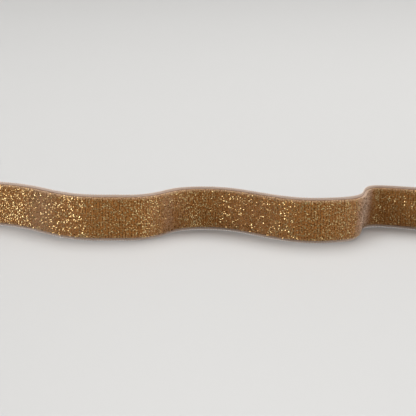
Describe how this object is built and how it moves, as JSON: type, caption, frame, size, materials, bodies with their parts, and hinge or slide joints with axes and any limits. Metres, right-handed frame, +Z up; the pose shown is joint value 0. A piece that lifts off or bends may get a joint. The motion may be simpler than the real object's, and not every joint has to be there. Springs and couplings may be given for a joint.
{
  "type": "glitter velvet ribbon",
  "caption": "Narrow woven velvet ribbon with gold glitter, standing on its edge in loose waves, with its spare length wound into a neat roll at one end.",
  "frame": {"origin": "on the lower edge of the ribbon, in the middle of the middle length, where it meets the surface it stands on", "axes": "+X runs along the waves towards the roll, the pile faces -Y in the waves, +Z is up"},
  "size_m": [0.1437, 0.0464, 0.01],
  "materials": {
    "ground_cloth": "matte woven",
    "velvet_pile": "cut pile with sheen",
    "selvage": "satin yarn",
    "gold_glitter": "bright metallised polyester film flake"
  },
  "bodies": {
    "left_run": {"left_run_cloth": "ground_cloth", "left_run_pile": "velvet_pile", "left_run_glitter": "gold_glitter", "left_run_upper_selvage": "selvage", "left_run_lower_selvage": "selvage"},
    "left_wave": {"left_wave_cloth": "ground_cloth", "left_wave_pile": "velvet_pile", "left_wave_glitter": "gold_glitter", "left_wave_upper_selvage": "selvage", "left_wave_lower_selvage": "selvage"},
    "middle_wave": {"middle_wave_cloth": "ground_cloth", "middle_wave_pile": "velvet_pile", "middle_wave_glitter": "gold_glitter", "middle_wave_upper_selvage": "selvage", "middle_wave_lower_selvage": "selvage"},
    "right_wave": {"right_wave_cloth": "ground_cloth", "right_wave_pile": "velvet_pile", "right_wave_glitter": "gold_glitter", "right_wave_upper_selvage": "selvage", "right_wave_lower_selvage": "selvage"},
    "right_run": {"right_run_cloth": "ground_cloth", "right_run_pile": "velvet_pile", "right_run_glitter": "gold_glitter", "right_run_upper_selvage": "selvage", "right_run_lower_selvage": "selvage"},
    "roll": {"roll_cloth": "ground_cloth", "roll_pile": "velvet_pile", "roll_glitter": "gold_glitter", "roll_upper_selvage": "selvage", "roll_lower_selvage": "selvage"}
  },
  "joints": [
    {"name": "far_left_bend", "type": "hinge", "parent": "middle_wave", "child": "left_wave", "pos_m": [-0.01247, 0.00716, 0.005], "axis": [0, 0, -1], "range_deg": [-20, 30], "stiffness_Nm_per_rad": 0.00025},
    {"name": "near_left_bend", "type": "hinge", "parent": "left_wave", "child": "left_run", "pos_m": [-0.03, -0.00467, 0.005], "axis": [0, 0, 1], "range_deg": [-25, 30], "stiffness_Nm_per_rad": 0.00025},
    {"name": "near_right_bend", "type": "hinge", "parent": "middle_wave", "child": "right_wave", "pos_m": [0.0125, -0.00816, 0.005], "axis": [0, 0, -1], "range_deg": [-15, 30], "stiffness_Nm_per_rad": 0.00025},
    {"name": "far_right_bend", "type": "hinge", "parent": "right_wave", "child": "right_run", "pos_m": [0.02879, 0.00958, 0.005], "axis": [0, 0, 1], "range_deg": [-15, 30], "stiffness_Nm_per_rad": 0.00025},
    {"name": "roll_bend", "type": "hinge", "parent": "right_run", "child": "roll", "pos_m": [0.0505, -0.00033, 0.005], "axis": [0, 0, -1], "range_deg": [-8, 20], "stiffness_Nm_per_rad": 0.00025}
  ]
}
